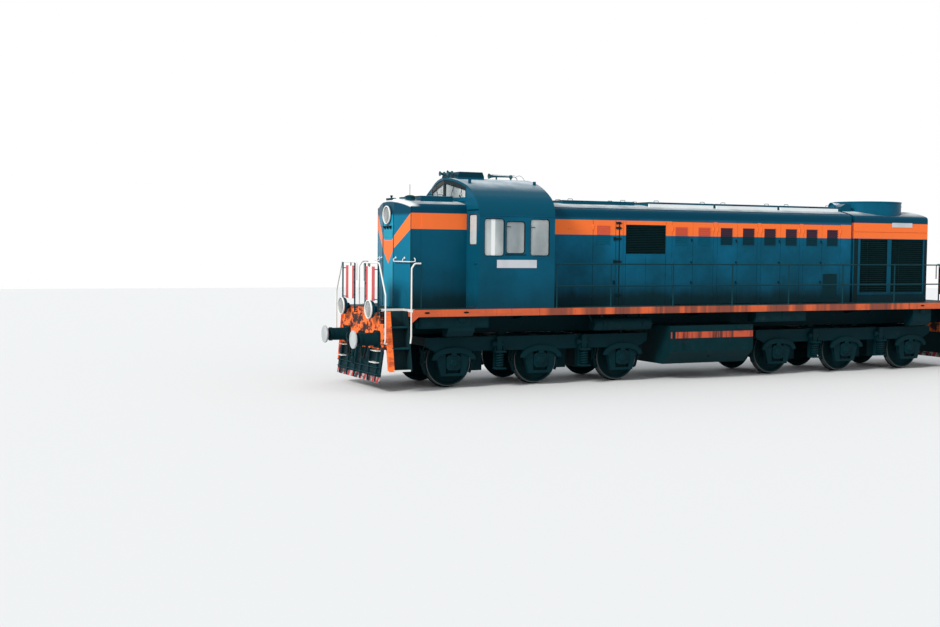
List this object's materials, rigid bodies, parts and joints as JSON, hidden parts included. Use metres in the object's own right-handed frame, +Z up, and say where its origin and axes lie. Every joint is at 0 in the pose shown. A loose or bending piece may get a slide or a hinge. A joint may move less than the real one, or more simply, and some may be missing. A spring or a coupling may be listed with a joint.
{
  "type": "six-axle diesel shunting locomotive",
  "caption": "Diesel shunting locomotive with a cab near one end, long engine hood, walkways, swivelling three-axle bogies, buffers and screw couplings.",
  "frame": {"origin": "on the floor under the middle of the locomotive; the floor touches the wheel flanges, 28 mm under the rail's top", "axes": "+X along the locomotive towards the radiator end, +Z up, -Y the side that the picture shows"},
  "size_m": [17.22, 3.104, 4.686],
  "materials": {
    "blue_paint": "teal blue body paint, semi-gloss, road film",
    "orange_paint": "orange warning paint, weathered",
    "white_paint": "white handrail paint",
    "frame_black": "dark underframe paint with grime",
    "running_gear": "oily cast steel with brake dust",
    "wheel_steel": "forged steel, bright tread",
    "engine_grey": "grey machinery paint",
    "cab_grey": "grey cab paint",
    "seat_cover": "dark seat cloth",
    "window_glass": "flat safety glass",
    "brass_horn": "weathered brass",
    "hose_rubber": "black braided rubber"
  },
  "bodies": {
    "carbody": {"main_frame": "frame_black", "pivot_pins": "running_gear", "deck": "frame_black", "buffer_beams": "orange_paint", "buffers": "running_gear", "couplings": "running_gear", "end_stairs": "frame_black", "fuel_tank": "frame_black", "short_hood": "blue_paint", "cab_end_walls": "blue_paint", "cab_side_walls": "blue_paint", "cab_roof": "blue_paint", "cab_windows": "window_glass", "control_desk": "cab_grey", "cab_seats": "seat_cover", "hood_roof": "blue_paint", "hood_panels": "blue_paint", "louvres": "frame_black", "engine_block": "engine_grey", "radiator_hood": "blue_paint", "fan_drum": "blue_paint", "roof_fittings": "blue_paint", "horns": "brass_horn", "end_railings": "frame_black", "grab_rails": "white_paint", "side_handrails": "frame_black", "rail_posts": "frame_black", "headlamps": "blue_paint", "brake_hoses": "hose_rubber"},
    "bogie_front": {"bogie_frame_front": "running_gear", "spring_gear_front": "running_gear", "traction_motors_front": "running_gear"},
    "bogie_rear": {"bogie_frame_rear": "running_gear", "spring_gear_rear": "running_gear", "traction_motors_rear": "running_gear"},
    "axle_1": {"wheelset_1": "wheel_steel"},
    "axle_2": {"wheelset_2": "wheel_steel"},
    "axle_3": {"wheelset_3": "wheel_steel"},
    "axle_4": {"wheelset_4": "wheel_steel"},
    "axle_5": {"wheelset_5": "wheel_steel"},
    "axle_6": {"wheelset_6": "wheel_steel"},
    "fan": {"fan_rotor": "engine_grey"},
    "cab_door_front": {"cab_door_front": "blue_paint"},
    "cab_door_rear": {"cab_door_rear": "blue_paint"},
    "engine_door_1": {"engine_door_1": "blue_paint"},
    "engine_door_2": {"engine_door_2": "blue_paint"},
    "engine_door_3": {"engine_door_3": "blue_paint"},
    "engine_door_4": {"engine_door_4": "blue_paint"},
    "engine_door_5": {"engine_door_5": "blue_paint"},
    "engine_door_6": {"engine_door_6": "blue_paint"},
    "engine_door_7": {"engine_door_7": "blue_paint"},
    "engine_door_8": {"engine_door_8": "blue_paint"},
    "engine_door_9": {"engine_door_9": "blue_paint"},
    "engine_door_10": {"engine_door_10": "blue_paint"},
    "engine_door_11": {"engine_door_11": "blue_paint"},
    "engine_door_12": {"engine_door_12": "blue_paint"},
    "engine_door_13": {"engine_door_13": "blue_paint"},
    "engine_door_14": {"engine_door_14": "blue_paint"},
    "engine_door_15": {"engine_door_15": "blue_paint"},
    "engine_door_16": {"engine_door_16": "blue_paint"}
  },
  "joints": [
    {"name": "bogie_front_swivel", "type": "hinge", "parent": "carbody", "child": "bogie_front", "pos_m": [-4.3, 0, 1.088], "axis": [0, 0, 1], "range_deg": [-3.5, 3.5]},
    {"name": "bogie_rear_swivel", "type": "hinge", "parent": "carbody", "child": "bogie_rear", "pos_m": [4.3, 0, 1.088], "axis": [0, 0, 1], "range_deg": [-3.5, 3.5]},
    {"name": "axle_1_roll", "type": "hinge", "parent": "bogie_front", "child": "axle_1", "pos_m": [-6.4, 0, 0.553], "axis": [0, 1, 0], "continuous": true},
    {"name": "axle_2_roll", "type": "hinge", "parent": "bogie_front", "child": "axle_2", "pos_m": [-4.3, 0, 0.553], "axis": [0, 1, 0], "continuous": true},
    {"name": "axle_3_roll", "type": "hinge", "parent": "bogie_front", "child": "axle_3", "pos_m": [-2.2, 0, 0.553], "axis": [0, 1, 0], "continuous": true},
    {"name": "axle_4_roll", "type": "hinge", "parent": "bogie_rear", "child": "axle_4", "pos_m": [2.2, 0, 0.553], "axis": [0, 1, 0], "continuous": true},
    {"name": "axle_5_roll", "type": "hinge", "parent": "bogie_rear", "child": "axle_5", "pos_m": [4.3, 0, 0.553], "axis": [0, 1, 0], "continuous": true},
    {"name": "axle_6_roll", "type": "hinge", "parent": "bogie_rear", "child": "axle_6", "pos_m": [6.4, 0, 0.553], "axis": [0, 1, 0], "continuous": true},
    {"name": "fan_spin", "type": "hinge", "parent": "carbody", "child": "fan", "pos_m": [5.83, 0, 4.068], "axis": [0, 0, 1], "continuous": true},
    {"name": "cab_door_front_hinge", "type": "hinge", "parent": "carbody", "child": "cab_door_front", "pos_m": [-6.05, -0.985, 2.8], "axis": [0, 0, -1], "range_deg": [0, 90]},
    {"name": "cab_door_rear_hinge", "type": "hinge", "parent": "carbody", "child": "cab_door_rear", "pos_m": [-4.24, 0.985, 2.8], "axis": [0, 0, -1], "range_deg": [0, 90]},
    {"name": "engine_door_1_hinge", "type": "hinge", "parent": "carbody", "child": "engine_door_1", "pos_m": [-0.811, -0.94, 2.7], "axis": [0, 0, -1], "range_deg": [0, 75]},
    {"name": "engine_door_2_hinge", "type": "hinge", "parent": "carbody", "child": "engine_door_2", "pos_m": [0.337, -0.94, 2.7], "axis": [0, 0, 1], "range_deg": [0, 75]},
    {"name": "engine_door_3_hinge", "type": "hinge", "parent": "carbody", "child": "engine_door_3", "pos_m": [0.463, -0.94, 2.7], "axis": [0, 0, -1], "range_deg": [0, 75]},
    {"name": "engine_door_4_hinge", "type": "hinge", "parent": "carbody", "child": "engine_door_4", "pos_m": [1.611, -0.94, 2.7], "axis": [0, 0, 1], "range_deg": [0, 75]},
    {"name": "engine_door_5_hinge", "type": "hinge", "parent": "carbody", "child": "engine_door_5", "pos_m": [1.737, -0.94, 2.7], "axis": [0, 0, -1], "range_deg": [0, 75]},
    {"name": "engine_door_6_hinge", "type": "hinge", "parent": "carbody", "child": "engine_door_6", "pos_m": [2.885, -0.94, 2.7], "axis": [0, 0, 1], "range_deg": [0, 75]},
    {"name": "engine_door_7_hinge", "type": "hinge", "parent": "carbody", "child": "engine_door_7", "pos_m": [3.011, -0.94, 2.7], "axis": [0, 0, -1], "range_deg": [0, 75]},
    {"name": "engine_door_8_hinge", "type": "hinge", "parent": "carbody", "child": "engine_door_8", "pos_m": [4.159, -0.94, 2.7], "axis": [0, 0, 1], "range_deg": [0, 75]},
    {"name": "engine_door_9_hinge", "type": "hinge", "parent": "carbody", "child": "engine_door_9", "pos_m": [-0.811, 0.94, 2.7], "axis": [0, 0, 1], "range_deg": [0, 75]},
    {"name": "engine_door_10_hinge", "type": "hinge", "parent": "carbody", "child": "engine_door_10", "pos_m": [0.337, 0.94, 2.7], "axis": [0, 0, -1], "range_deg": [0, 75]},
    {"name": "engine_door_11_hinge", "type": "hinge", "parent": "carbody", "child": "engine_door_11", "pos_m": [0.463, 0.94, 2.7], "axis": [0, 0, 1], "range_deg": [0, 75]},
    {"name": "engine_door_12_hinge", "type": "hinge", "parent": "carbody", "child": "engine_door_12", "pos_m": [1.611, 0.94, 2.7], "axis": [0, 0, -1], "range_deg": [0, 75]},
    {"name": "engine_door_13_hinge", "type": "hinge", "parent": "carbody", "child": "engine_door_13", "pos_m": [1.737, 0.94, 2.7], "axis": [0, 0, 1], "range_deg": [0, 75]},
    {"name": "engine_door_14_hinge", "type": "hinge", "parent": "carbody", "child": "engine_door_14", "pos_m": [2.885, 0.94, 2.7], "axis": [0, 0, -1], "range_deg": [0, 75]},
    {"name": "engine_door_15_hinge", "type": "hinge", "parent": "carbody", "child": "engine_door_15", "pos_m": [3.011, 0.94, 2.7], "axis": [0, 0, 1], "range_deg": [0, 75]},
    {"name": "engine_door_16_hinge", "type": "hinge", "parent": "carbody", "child": "engine_door_16", "pos_m": [4.159, 0.94, 2.7], "axis": [0, 0, -1], "range_deg": [0, 75]}
  ]
}
